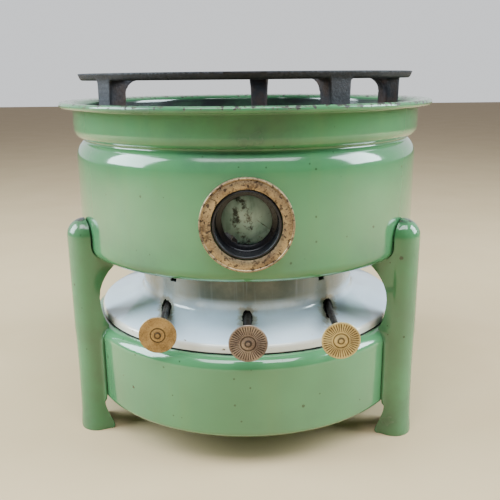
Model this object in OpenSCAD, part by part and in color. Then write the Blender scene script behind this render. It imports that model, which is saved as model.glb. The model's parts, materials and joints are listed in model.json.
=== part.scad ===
// Three-wick paraffin cooking stove in enamelled sheet steel.
// Millimetres, +Z up. The origin is on the drum's axis, at the level of the table.
// The window and the knobs face -Y.

/* [Sheet and fits] */
// Thickness of the enamelled sheet
sheet = 1.2; // [0.8:0.1:1.6]
// Radial clearance of a shaft in its bearing
shaft_gap = 0.05; // [0.03:0.01:0.1]
// Gap between loose pieces that pass each other
loose_gap = 0.4; // [0.3:0.1:0.6]
// Radial gap between the mantle's wall and the legs
leg_gap = 1; // [0.6:0.1:2]

/* [Tank] */
// Outer radius of the fuel tank
tank_r = 127; // [115:1:128]
// Height of the tank's underside above the table
tank_clear = 24.5; // [16:0.5:30]
// Height of the tank from underside to top
tank_h = 57.7; // [45:0.1:75]
// Radius of the tank's rounded shoulder
tank_shoulder = 8.5; // [5:0.5:10]
// Radius of the tank's rounded bottom edge
tank_edge = 5; // [3:0.5:8]

/* [Burner plate] */
// Outer radius of the white plate
plate_r = 118.3; // [112:0.1:120]
// Height of the plate's upright lip
plate_lip = 3.4; // [2:0.2:6]
// Slope of the plate's skirt in degrees
skirt_slope = 16; // [10:1:20]
// Outer radius of the dome
dome_r = 84.8; // [82:0.2:90]
// Height of the dome's top above the tank
dome_h = 43.8; // [40:0.2:46]

/* [Mantle] */
// Outer radius of the mantle's wall
mantle_r = 129.4; // [122:0.1:131]
// Height of the mantle's underside above the tank's top
mantle_gap = 52; // [46:0.5:60]
// Height of the mantle from its underside to the rim
mantle_h = 108; // [98:1:125]
// Outer radius of the rolled rim
rim_r = 140; // [134:0.5:144]
// Radius of the rolled bead
bead_r = 2.1; // [1.5:0.1:2.6]
// Outer radius of the collar
collar_r = 130.4; // [124:0.1:132]
// Height of the collar's upright side below the rim
collar_h = 17.2; // [14:0.2:24]
// Depth of the neck below the collar
neck_depth = 7.1; // [5:0.1:9]
// Radius of the inner chimney
liner_r = 101; // [98:0.5:106]

/* [Window] */
// Height of the window's centre above the mantle's underside
window_up = 39; // [36:0.5:44]
// Outer radius of the brass bezel
bezel_r = 29.5; // [25:0.5:29.5]
// Radius of the bezel's opening
bezel_bore = 22; // [19:0.5:22]
// Radius of the visible pane
pane_view = 16; // [12:0.5:17]
// Depth of the pane behind the mantle's wall
pane_depth = 13.6; // [8:0.2:18]

/* [Legs] */
// Radius of the circle through the legs' axes
leg_circle = 131.2; // [127:0.1:134]
// Outer radius of a leg's rounded back
leg_r = 12.5; // [10:0.5:14]
// Turn of the three legs about the drum's axis
legs_turn = -3.4; // [-6:0.1:6]
// Height of a leg above the mantle's underside
leg_rise = 29.8; // [24:0.2:34]
// Radius of a leg's flared foot
foot_r = 13.2; // [11:0.1:15]

/* [Burners] */
// Distance between neighbouring spindles
spindle_pitch = 59.4; // [57:0.1:60]
// Height of the spindles above the tank's top
spindle_up = 14.8; // [13.5:0.1:16]
// Radius of a spindle
spindle_r = 2.3; // [1.8:0.1:2.6]
// Tip radius of the toothed wheels
wheel_r = 4.2; // [3.8:0.1:4.6]
// Number of teeth on a wheel
wheel_teeth = 8; // [6:1:12]
// Width of a wick
wick_w = 46; // [36:1:48]
// Thickness of a wick
wick_t = 3.2; // [2.4:0.2:3.6]
// Radius of a knob
knob_r = 12.6; // [10:0.1:14]
// Thickness of a knob
knob_t = 1.2; // [0.8:0.1:2]
// Distance of the knobs' faces from the drum's axis: left, centre and right
knob_reach = [118.5, 134, 131];

/* [Pot rest] */
// Outer radius of the ring
rest_r = 125; // [112:0.5:126]
// Thickness of the ring
rest_t = 4.8; // [3:0.2:8]
// Height of the pot rest, feet included
rest_h = 37.4; // [28:0.2:50]
// Width of a foot at the top
rest_foot_w = 17; // [12:0.5:20]
// Directions of the five feet, in degrees from the front
rest_feet = [-48.5, 28.4, 100, 173.5, 248.5];

/* [Filler] */
// Distance of the filler from the drum's axis
filler_circle = 101; // [99:0.5:102]
// Direction of the filler, in degrees from the front
filler_turn = 142; // [120:1:150]
// Outer radius of the filler's neck
filler_r = 9.5; // [7:0.5:10]

/* [Hidden] */
$fn = 96;

green = [0.56, 0.70, 0.52];
white = [0.88, 0.90, 0.90];
brass = [0.66, 0.52, 0.28];
steel = [0.45, 0.45, 0.46];
iron = [0.15, 0.15, 0.16];

// Levels above the table
tank_top = tank_clear + tank_h;
gasket_t = 0.6;
plate_z = tank_top + gasket_t;
dome_top = tank_top + dome_h;
spindle_z = tank_top + spindle_up;
mantle_z = tank_top + mantle_gap;
rim_z = mantle_z + mantle_h;
window_z = mantle_z + window_up;
leg_dome_z = mantle_z + leg_rise - leg_r;

// Tank and what lies on it
tank_mouth = plate_r - 12.3;
cover_t = 1;
plate_foot = 5.8;

// Burner plate
lip_round = 3;
fold_round = 5;
crown_round = 4;
crown_in = dome_r - 7.8;
spindle_hole_r = 3.4;
vent_angle = 39.5;
vent = [8, 6, 5];

// Mantle
mantle_edge = 9;
mantle_shoulder = 15;
shoulder_end = 52;
collar_edge = 7.5;
collar_base = rim_z - collar_h;
neck_r = collar_r - neck_depth;
lip_turn = 4;
flange_in = liner_r - 2.5;
liner_t = 1;
ledge_z = collar_base;
ledge_top = ledge_z + sheet;

// Burners: the spindle lies beside the wick, and its teeth stop short of the wick's face
tooth_gap = 0.3;
drive_offset = wheel_r + tooth_gap + wick_t / 2;
tube_wall = 0.7;
tube_in_t = wick_t + 2 * loose_gap;
tube_in_w = wick_w + 1;
tube_t = tube_in_t + 2 * tube_wall;
tube_w = tube_in_w + 2 * tube_wall;
tube_top = dome_top + 5;
tube_bottom = tank_top - 22;
wick_top = tube_top + 0.5;
wick_bottom = tank_clear + 17.5;
wheel_t = 1.6;
wheel_y = 12;
wheel_root = wheel_r - 1;
housing_wall = 0.7;
housing_l = 38;
housing_half_h = wheel_r + 0.9 + housing_wall;
housing_out = wheel_r + 0.7 + housing_wall;
spindle_back = 22;
spindle_end_r = 1.6;
rivet_r = 2.4;
rivet_h = 0.8;
collar_knob_r = 3.2;
draught_t = 0.8;
cap_wall = 0.8;
cap_base_w = 17;
cap_body_w = 14;
cap_roof_w = 10;
cap_h = 13;
cap_l = tube_w + 6.2;
cap_slot = wick_t + 3.8;

// Filler
filler_wall = 1;
filler_top = tank_top + 24;
cap_skirt = 8.5;
cap_bore_gap = 0.08;
seal_t = 1;

// Window
bezel_face = 3;
bezel_t = 1;
tube_r = bezel_bore - 0.4;
window_wall = 1;
pane_t = 0.4;
retainer_t = 1.2;
pane_y = mantle_r - pane_depth;

// Pot rest
rest_draft = 2;
rest_ring_in = rest_r - 13;
rest_hub = [28, 38];
rest_arm_w = 9;
rest_foot_bottom_w = rest_foot_w - 3.6;
rest_foot_d = 12;
rest_arch = 10;
rest_z = ledge_top;
rest_top = rest_z + rest_h;

// Points of an arc about centre c, in the plane of radius and height
function arc(c, r, from, to, steps = 8) =
  [for (i = [0:steps]) let (a = from + (to - from) * i / steps) [c[0] + r * cos(a), c[1] + r * sin(a)]];
function reversed(p) = [for (i = [len(p) - 1:-1:0]) p[i]];

// Outline of a sheet t thick, whose outer line is path 0 and whose inner line is path t
module sheet_of_revolution(outer, inner) {
  rotate_extrude() polygon(concat(outer, reversed(inner)));
}

// Turns +X towards a direction given in degrees from the front
module facing(turn) {
  rotate([0, 0, turn - 90]) children();
}

// Stands its children on the front of the drum, with their +Z pointing forwards
module on_front(x, z, reach) {
  translate([x, -reach, z]) rotate([90, 0, 0]) children();
}

module tube(r, wall, h) {
  difference() {
    cylinder(r = r, h = h);
    translate([0, 0, -1]) cylinder(r = r - wall, h = h + 2);
  }
}

module box(size) {
  translate([-size[0] / 2, -size[1] / 2, 0]) cube(size);
}

// ---------- tank ----------
function tank_path(o) = concat(
  [[0, tank_clear + o]],
  arc([tank_r - tank_edge, tank_clear + tank_edge], tank_edge - o, -90, 0),
  arc([tank_r - tank_shoulder, tank_top - tank_shoulder], tank_shoulder - o, 0, 90)
);

module tank_shell() {
  color(green) difference() {
    sheet_of_revolution(
      concat(tank_path(0), [[tank_mouth, tank_top]]),
      concat(tank_path(sheet), [[tank_mouth, tank_top - sheet]]));
    at_filler(tank_top - 3) cylinder(r = filler_r, h = 6);
  }
}

module tank_envelope() {
  rotate_extrude() polygon(concat(tank_path(0), [[0, tank_top]]));
}

module tank_cover() {
  color(steel) difference() {
    translate([0, 0, tank_top]) cylinder(r = tank_mouth + 5, h = cover_t);
    for (i = [0:2]) translate([wick_x(i), 0, tank_top - 1]) box([tube_t, tube_w, cover_t + 2]);
    at_filler(tank_top - 1) cylinder(r = filler_r, h = cover_t + 2);
  }
}

module plate_gasket() {
  color(iron) translate([0, 0, tank_top]) tube(plate_r - 0.8, plate_foot - 0.8, gasket_t);
}

// ---------- burner plate ----------
lip_z = plate_z + plate_lip;
lip_end = [plate_r - lip_round + lip_round * sin(skirt_slope), lip_z + lip_round * cos(skirt_slope)];
fold_start_r = dome_r + fold_round - fold_round * sin(skirt_slope);
fold_z = lip_end[1] + (lip_end[0] - fold_start_r) * tan(skirt_slope) + fold_round * cos(skirt_slope);

function plate_path(o) = concat(
  [[plate_r - plate_foot, plate_z + o], [plate_r - o, plate_z + o]],
  arc([plate_r - lip_round, lip_z], lip_round - o, 0, 90 - skirt_slope),
  arc([dome_r + fold_round, fold_z], fold_round + o, 270 - skirt_slope, 180),
  arc([dome_r - crown_round, dome_top - crown_round], crown_round - o, 0, 90),
  [[crown_in, dome_top - o]]
);

module burner_plate() {
  color(white) difference() {
    sheet_of_revolution(plate_path(0), plate_path(sheet));
    for (i = [0:2]) on_front(spindle_x(i), spindle_z, 0) cylinder(r = spindle_hole_r, h = plate_r - 1);
    for (side = [-1, 1])
      facing(side * vent_angle) translate([dome_r - 1, 0, dome_top - vent[2] - crown_round]) box(vent);
    at_filler(plate_z) cylinder(r = filler_r + 0.8, h = dome_h);
  }
}

// ---------- legs ----------
notch_z = tank_clear - 2.2;
web_mid_z = tank_top + 23.8;
web_low_round = 40;
web_top_round = 24;
web_r = tank_r - 0.3;
shelf_tip = mantle_r - 20.9;
flange_reach = leg_r + 2.6;

// Side wall of a leg: foot, notch, tank, the round cut about the burner plate, and the mantle's shelf
function web_profile() = concat(
  [[leg_circle, 0], [tank_r - 5, 0], [tank_r - 2.4, 10], [tank_r + 1.2, notch_z], [tank_r - 1, tank_clear + 6]],
  [[tank_r - 7, tank_top - 4]],
  arc([web_r - web_low_round, web_mid_z], web_low_round, -33, 0, 6),
  arc([web_r - web_top_round, web_mid_z], web_top_round, 10, 75, 8),
  [[shelf_tip, mantle_z], [leg_circle, mantle_z], [leg_circle, 0]]
);

module mantle_envelope() {
  rotate_extrude() polygon(concat(
    [[0, mantle_z]],
    arc([mantle_r - mantle_edge, mantle_z + mantle_edge + leg_gap], mantle_edge + leg_gap, -90, 0),
    [[mantle_r + leg_gap, rim_z], [0, rim_z]]));
}

module leg_outside() {
  translate([leg_circle, 0, 0]) {
    cylinder(r = leg_r, h = leg_dome_z);
    cylinder(r1 = foot_r, r2 = leg_r, h = 16);
    translate([0, 0, leg_dome_z]) sphere(r = leg_r);
  }
  translate([0, leg_r, 0]) rotate([90, 0, 0]) linear_extrude(2 * leg_r) polygon(web_profile());
  translate([shelf_tip + 12, -leg_r, mantle_z - 1]) cube([leg_circle - shelf_tip - 12, 2 * leg_r, leg_dome_z - mantle_z + 1]);
}

module leg_hollow() {
  translate([leg_circle, 0, -1]) {
    cylinder(r = leg_r - sheet, h = leg_dome_z + 1);
    translate([0, 0, leg_dome_z + 1]) sphere(r = leg_r - sheet);
  }
  translate([0, -leg_r + sheet, -1]) cube([leg_circle, 2 * (leg_r - sheet), leg_dome_z + 1]);
}

module leg_flanges() {
  intersection() {
    translate([0, 0, tank_clear + tank_edge]) tube(tank_r + sheet, sheet, tank_h - tank_edge - tank_shoulder);
    for (side = [-1, 1])
      translate([tank_r - 6, side * (flange_reach + leg_r - sheet) / 2 - (flange_reach - leg_r + sheet) / 2, 0])
        cube([12, flange_reach - leg_r + sheet, tank_top]);
  }
}

module leg(turn) {
  color(green) facing(turn + legs_turn) difference() {
    union() {
      difference() {
        leg_outside();
        leg_hollow();
      }
      leg_flanges();
    }
    tank_envelope();
    mantle_envelope();
  }
}

// ---------- burners ----------
function spindle_x(i) = (i - 1) * spindle_pitch;
function wick_x(i) = spindle_x(i) - drive_offset;

module wick_tube(i) {
  color(steel) difference() {
    translate([wick_x(i), 0, tube_bottom]) box([tube_t, tube_w, tube_top - tube_bottom]);
    translate([wick_x(i), 0, tube_bottom - 1]) box([tube_in_t, tube_in_w, tube_top - tube_bottom + 2]);
    for (side = [-1, 1])
      translate([wick_x(i) + tube_t / 2, side * wheel_y, spindle_z - wheel_r + 0.6])
        box([2 * tube_wall + 0.4, wheel_t + 1, 2 * wheel_r - 1.2]);
  }
}

module gear_housing(i) {
  face = wick_x(i) + tube_t / 2;
  depth = spindle_x(i) + housing_out - face;
  color(steel) difference() {
    translate([face, -housing_l / 2, spindle_z - housing_half_h]) cube([depth, housing_l, 2 * housing_half_h]);
    translate([face - 1, -housing_l / 2 + housing_wall, spindle_z - housing_half_h + housing_wall])
      cube([depth + 1 - housing_wall, housing_l - 2 * housing_wall, 2 * (housing_half_h - housing_wall)]);
    on_front(spindle_x(i), spindle_z, -housing_l) cylinder(r = spindle_r + shaft_gap, h = 2 * housing_l);
  }
}

module spindle(i) {
  reach = knob_reach[i];
  color(steel) {
    on_front(spindle_x(i), spindle_z, -spindle_back) cylinder(r = spindle_r, h = spindle_back + reach - knob_t);
    on_front(spindle_x(i), spindle_z, reach - knob_t - 3) cylinder(r = collar_knob_r, h = 3);
    on_front(spindle_x(i), spindle_z, reach - knob_t) cylinder(r = spindle_end_r, h = knob_t);
    on_front(spindle_x(i), spindle_z, reach) cylinder(r1 = rivet_r, r2 = rivet_r - 0.8, h = rivet_h);
  }
}

module wheel() {
  points = [for (k = [0:2 * wheel_teeth - 1])
    let (r = k % 2 == 0 ? wheel_r : wheel_root, a = 180 * k / wheel_teeth) [r * cos(a), r * sin(a)]];
  difference() {
    linear_extrude(wheel_t) polygon(points);
    translate([0, 0, -1]) cylinder(r = spindle_r, h = wheel_t + 2);
  }
}

module wick_wheels(i) {
  color(steel) for (side = [-1, 1])
    on_front(spindle_x(i), spindle_z, side * wheel_y - wheel_t / 2) wheel();
}

module knob(i) {
  color(brass) on_front(spindle_x(i), spindle_z, knob_reach[i] - knob_t) difference() {
    cylinder(r = knob_r, h = knob_t);
    translate([0, 0, -1]) cylinder(r = spindle_end_r, h = knob_t + 2);
  }
}

module wick(i) {
  color([0.85, 0.82, 0.72]) translate([wick_x(i), 0, wick_bottom]) box([wick_t, wick_w, wick_top - wick_bottom]);
}

module draught_plate() {
  hole_r = 1.6;
  step = 11;
  edge = crown_in - 3.5;
  clear = cap_base_w / 2 + hole_r + 0.8;
  plate_hole_r = crown_in + 3;
  color(steel) difference() {
    translate([0, 0, dome_top]) cylinder(r = plate_hole_r, h = draught_t);
    for (i = [0:2]) translate([wick_x(i), 0, dome_top - 1]) box([tube_t + 0.6, tube_w + 0.6, draught_t + 2]);
    for (x = [-7:7]) for (y = [-7:7])
      if (norm([x * step, y * step]) < edge && min([for (i = [0:2]) abs(x * step - wick_x(i))]) > clear)
        translate([x * step, y * step, dome_top - 1]) cylinder(r = hole_r, h = draught_t + 2, $fn = 24);
  }
}

module roof(width, roof_width, height, length) {
  rotate([90, 0, 0]) translate([0, 0, -length / 2]) linear_extrude(length)
    polygon([[-width / 2, 0], [width / 2, 0], [width / 2, height - 5], [roof_width / 2, height],
             [-roof_width / 2, height], [-width / 2, height - 5]]);
}

module flame_cap(i) {
  color(steel) translate([wick_x(i), 0, dome_top + draught_t]) difference() {
    union() {
      roof(cap_body_w, cap_roof_w, cap_h, cap_l - 1);
      box([cap_base_w, cap_l, cap_wall]);
    }
    translate([0, 0, -0.01]) roof(cap_body_w - 2 * cap_wall, cap_roof_w - cap_wall, cap_h - cap_wall, cap_l - 1 - 2 * cap_wall);
    box([cap_slot, tube_in_w + 2, cap_h + 1]);
  }
}

// ---------- filler ----------
module at_filler(z) {
  facing(filler_turn) translate([filler_circle, 0, z]) children();
}

module filler_neck() {
  color(steel) at_filler(tank_top - 3) tube(filler_r, filler_wall, filler_top - tank_top + 3);
}

module filler_cap() {
  bore_r = filler_r + cap_bore_gap;
  color(brass) at_filler(filler_top - cap_skirt + seal_t) difference() {
    cylinder(r = filler_r + 2.5, h = cap_skirt + 1.5);
    translate([0, 0, -1]) cylinder(r = bore_r, h = cap_skirt + 1);
  }
}

module filler_gasket() {
  color(iron) at_filler(filler_top) cylinder(r = filler_r, h = seal_t);
}

// ---------- mantle ----------
function mantle_path(o) = concat(
  [[flange_in, mantle_z + o]],
  arc([mantle_r - mantle_edge, mantle_z + mantle_edge], mantle_edge - o, -90, 0),
  arc([mantle_r - mantle_shoulder, collar_base - 22], mantle_shoulder - o, 0, shoulder_end),
  [[neck_r - o, collar_base - collar_edge - 1.9], [neck_r - o, collar_base - collar_edge + o]],
  arc([collar_r - collar_edge, collar_base], collar_edge - o, -86, 0),
  arc([collar_r + lip_turn, rim_z - lip_turn + 0.2], lip_turn + o, 180, 100, 6),
  [[rim_r - bead_r, rim_z + 0.2 + o]]
);

module mantle_shell() {
  color(green) difference() {
    union() {
      sheet_of_revolution(mantle_path(0), mantle_path(sheet));
      rotate_extrude() translate([rim_r - bead_r, rim_z]) circle(r = bead_r);
    }
    on_front(0, window_z, mantle_r - 20) cylinder(r = tube_r + 0.2, h = 30);
  }
}

module chimney_liner() {
  color(steel) difference() {
    translate([0, 0, mantle_z + sheet]) tube(liner_r, liner_t, ledge_z - mantle_z - sheet);
    on_front(0, window_z, liner_r - 20) cylinder(r = tube_r + 0.2, h = 30);
  }
}

module ledge_ring() {
  color(steel) translate([0, 0, ledge_z]) tube(collar_r - sheet, collar_r - sheet - liner_r + 4, sheet);
}

// ---------- window ----------
module window_bezel() {
  face = mantle_r + bezel_face;
  color(brass) difference() {
    on_front(0, window_z, mantle_r - 12) cylinder(r = bezel_r, h = bezel_face + 12);
    on_front(0, window_z, mantle_r - 13) cylinder(r = bezel_r - bezel_t, h = bezel_face + 13 - bezel_t);
    on_front(0, window_z, face - 5) cylinder(r = bezel_bore, h = 10);
    translate([0, 0, mantle_z]) cylinder(r = mantle_r, h = mantle_h);
  }
}

module window_tube() {
  back = liner_r - 4;
  front = mantle_r + bezel_face - bezel_t;
  color(iron) {
    on_front(0, window_z, back) tube(tube_r, window_wall, front - back);
    on_front(0, window_z, pane_y - 1) difference() {
      cylinder(r = tube_r - window_wall, h = 1);
      translate([0, 0, -1]) cylinder(r = pane_view, h = 3);
    }
  }
}

module mica_pane() {
  color([0.7, 0.75, 0.66, 0.6]) on_front(0, window_z, pane_y) cylinder(r = tube_r - window_wall, h = pane_t);
}

module mica_retainer() {
  color(iron) on_front(0, window_z, pane_y + pane_t)
    tube(tube_r - window_wall, tube_r - window_wall - pane_view, retainer_t);
}

// ---------- pot rest ----------
// A foot's outline in the plane of radius and height: the arch is on the side of the axis
function rest_foot_outline() = concat(
  [[rest_r - rest_draft, rest_top - 0.1], [rest_r - rest_draft, rest_z]],
  [[rest_r - rest_draft - rest_foot_d, rest_z]],
  arc([rest_r - rest_draft - rest_foot_d - rest_arch, rest_top - rest_t - rest_arch], rest_arch, 0, 90, 6),
  [[rest_r - rest_draft - rest_foot_d - rest_arch, rest_top - 0.1]]
);

module rest_foot() {
  intersection() {
    translate([0, rest_foot_w, 0]) rotate([90, 0, 0]) linear_extrude(2 * rest_foot_w) polygon(rest_foot_outline());
    rotate([90, 0, 90]) linear_extrude(rest_r) polygon([
      [-rest_foot_bottom_w / 2, rest_z], [rest_foot_bottom_w / 2, rest_z],
      [rest_foot_w / 2, rest_top], [-rest_foot_w / 2, rest_top]]);
  }
}

module rest_arm() {
  translate([(rest_hub[0] + rest_hub[1]) / 2, -rest_arm_w / 2, rest_top - rest_t])
    cube([rest_ring_in + 1 - (rest_hub[0] + rest_hub[1]) / 2, rest_arm_w, rest_t]);
}

module pot_rest() {
  low = rest_top - rest_t;
  color(iron) {
    rotate_extrude() polygon([[rest_ring_in, low], [rest_r - rest_draft, low], [rest_r, rest_top], [rest_ring_in, rest_top]]);
    rotate_extrude() polygon([[rest_hub[0], low], [rest_hub[1], low], [rest_hub[1], rest_top], [rest_hub[0], rest_top]]);
    for (a = rest_feet) facing(a) {
      rest_foot();
      rest_arm();
    }
  }
}

tank_shell();
tank_cover();
plate_gasket();
burner_plate();
leg(-60);  // leg_left
leg(60);  // leg_right
leg(180);  // leg_rear
wick_tube(0);  // wick_tube_left
wick_tube(1);  // wick_tube_centre
wick_tube(2);  // wick_tube_right
gear_housing(0);  // gear_housing_left
gear_housing(1);  // gear_housing_centre
gear_housing(2);  // gear_housing_right
draught_plate();
flame_cap(0);  // flame_cap_left
flame_cap(1);  // flame_cap_centre
flame_cap(2);  // flame_cap_right
filler_neck();
filler_cap();
filler_gasket();
spindle(0);  // spindle_left
spindle(1);  // spindle_centre
spindle(2);  // spindle_right
wick_wheels(0);  // wick_wheels_left
wick_wheels(1);  // wick_wheels_centre
wick_wheels(2);  // wick_wheels_right
knob(0);  // knob_left
knob(1);  // knob_centre
knob(2);  // knob_right
wick(0);  // wick_left
wick(1);  // wick_centre
wick(2);  // wick_right
mantle_shell();
chimney_liner();
ledge_ring();
window_bezel();
window_tube();
mica_retainer();
mica_pane();
pot_rest();
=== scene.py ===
# %% [markdown]
# # A three-wick paraffin stove
# This notebook builds the looks of an old enamelled stove around a frame that already has the
# right sizes: a fuel tank on three pressed legs, a white burner plate, three brass wick knobs, a
# green mantle with a mica window, and a cast-iron pot rest. Every piece is placed from the frame,
# so nothing is fitted by eye. Lengths are written in millimetres and turned into metres at the end
# of each shape, because a stove maker thinks in millimetres.

import json
import math
import random

import bmesh
import bpy
from mathutils import Matrix, Vector


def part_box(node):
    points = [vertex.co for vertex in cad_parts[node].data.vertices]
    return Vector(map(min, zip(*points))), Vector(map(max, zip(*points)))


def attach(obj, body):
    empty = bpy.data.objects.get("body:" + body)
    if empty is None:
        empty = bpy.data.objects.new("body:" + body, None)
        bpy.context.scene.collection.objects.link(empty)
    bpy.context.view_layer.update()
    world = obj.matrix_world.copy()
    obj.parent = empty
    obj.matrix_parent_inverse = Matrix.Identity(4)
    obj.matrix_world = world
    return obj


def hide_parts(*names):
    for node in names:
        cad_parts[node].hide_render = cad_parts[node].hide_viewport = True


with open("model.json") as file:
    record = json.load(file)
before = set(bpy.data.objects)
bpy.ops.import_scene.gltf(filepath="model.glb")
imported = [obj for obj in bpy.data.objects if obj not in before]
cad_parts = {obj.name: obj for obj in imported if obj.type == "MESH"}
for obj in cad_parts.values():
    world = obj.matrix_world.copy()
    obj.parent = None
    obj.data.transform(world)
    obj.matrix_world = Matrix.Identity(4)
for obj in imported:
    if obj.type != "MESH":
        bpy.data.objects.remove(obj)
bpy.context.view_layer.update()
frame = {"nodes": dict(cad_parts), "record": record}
scene = bpy.context.scene
MM = 0.001


# %% [markdown]
# ## Sizes
# `size_of` reads a part's lowest and highest corner from the frame. The drum's round parts need
# only three facts from it: a radius, a lowest level and a highest level.

# %% Reading sizes from the frame
def size_of(node):
    """Radius about the drum's axis, lowest level and highest level of a round part, in mm."""
    low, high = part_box(node)
    return high.x / MM, low.z / MM, high.z / MM


def middle_of(node):
    """Middle of a part's box, in mm."""
    low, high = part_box(node)
    return (low + high) / 2 / MM


SHEET = 1.2
tank_r, tank_z, tank_top = size_of("tank_shell")
plate_r, plate_z, dome_top = size_of("burner_plate")
rim_r, mantle_z, rim_z = size_of("mantle_shell")
rest_r, rest_z, rest_top = size_of("pot_rest")
window_z = middle_of("mica_pane").z
SIDES = ("left", "centre", "right")
spindle_at = {side: middle_of("knob_" + side) for side in SIDES}
print("radii in mm: tank", round(tank_r, 1), "plate", round(plate_r, 1), "rim", round(rim_r, 1))

# %% [markdown]
# ## The camera
# The stove stands on a table and is looked at from a little above, from about half a metre away.
# A camera that near makes the front of the drum clearly larger than its back, so its distance
# matters more than its lens. It is placed by its height, its distance and three small turns.

# %% Placing the camera
CAMERA_DISTANCE, CAMERA_HEIGHT = 510, 260
LOOK_DOWN, LOOK_RIGHT, LEAN = 15.09, 0.27, -0.58
FOCAL_LENGTH = 46.08

camera = bpy.data.objects.new("camera", bpy.data.cameras.new("camera"))
scene.collection.objects.link(camera)
scene.camera = camera
camera.data.lens = FOCAL_LENGTH
camera.data.sensor_width = 36
camera.matrix_world = (
    Matrix.Translation(Vector((0, -CAMERA_DISTANCE, CAMERA_HEIGHT)) * MM)
    @ Matrix.Rotation(math.radians(-LOOK_RIGHT), 4, "Z")
    @ Matrix.Rotation(math.radians(90 - LOOK_DOWN), 4, "X")
    @ Matrix.Rotation(math.radians(LEAN), 4, "Z")
)
print("camera", CAMERA_DISTANCE, "mm in front,", CAMERA_HEIGHT, "mm up")

# %% [markdown]
# ## Light
# Gloss enamel shows its shape by what it reflects. Two big soft boxes, one far to each side, give
# the bright patches on the shoulders and leave the front calm. The third hangs high in front: it
# lights the white plate from above and lets the mantle throw its shadow on the dome.
# The room is dark on the viewer's side and pale behind the stove, as it is when somebody stands
# in front of a wall. Only reflections see the dark side: a camera ray that misses everything finds
# the same pale backdrop all round. The pale floor sends warm light back up into the drum's lower half.


# %% Soft boxes, sky and floor
def soft_box(name, direction, distance, width, height, power, colour):
    """An area light that faces the stove's middle. Distance and sizes are in metres."""
    lamp = bpy.data.lights.new(name, "AREA")
    lamp.shape = "RECTANGLE"
    lamp.size, lamp.size_y = width, height
    lamp.energy = power
    lamp.color = colour
    holder = bpy.data.objects.new(name, lamp)
    scene.collection.objects.link(holder)
    holder.location = Vector((0, 0, 0.15)) + Vector(direction).normalized() * distance
    aim = Vector((0, 0, 0.15)) - holder.location
    holder.rotation_mode = "QUATERNION"
    holder.rotation_quaternion = aim.to_track_quat("-Z", "Y")


soft_box("left_box", (-0.88, -0.14, 0.45), 1.3, 0.75, 0.9, 39, (0.77, 0.94, 1.0))
soft_box("right_box", (0.88, -0.14, 0.46), 1.3, 0.6, 0.8, 31, (0.78, 0.94, 1.0))
soft_box("front_box", (0.0, -0.45, 0.90), 1.5, 1.4, 0.7, 30, (0.90, 0.96, 1.0))

sky = bpy.data.worlds.new("sky")
scene.world = sky
sky.use_nodes = True
sky_nodes, sky_links = sky.node_tree.nodes, sky.node_tree.links
direction = sky_nodes.new("ShaderNodeSeparateXYZ")
room = sky_nodes.new("ShaderNodeMapRange")
room.interpolation_type = "SMOOTHSTEP"
for socket, value in (("From Min", -0.3), ("From Max", 0.85), ("To Min", 0.03), ("To Max", 1.0)):
    room.inputs[socket].default_value = value
sky_links.new(sky_nodes.new("ShaderNodeTexCoord").outputs["Generated"], direction.inputs[0])
sky_links.new(direction.outputs["Y"], room.inputs["Value"])
seen = sky_nodes.new("ShaderNodeMath")
seen.operation = "MAXIMUM"
sky_links.new(room.outputs[0], seen.inputs[0])
sky_links.new(sky_nodes.new("ShaderNodeLightPath").outputs["Is Camera Ray"], seen.inputs[1])
sky_links.new(seen.outputs[0], sky_nodes["Background"].inputs["Strength"])
sky_nodes["Background"].inputs["Color"].default_value = (0.95, 0.97, 1.0, 1)


# %% [markdown]
# ## Node helpers
# A material is a small circuit. `Graph` makes each part of it one short call: a noise, a blend, a
# bit of arithmetic. Values that change over the surface may come from shared node groups, while
# the shader itself, with its constants, stays in each material.


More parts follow.
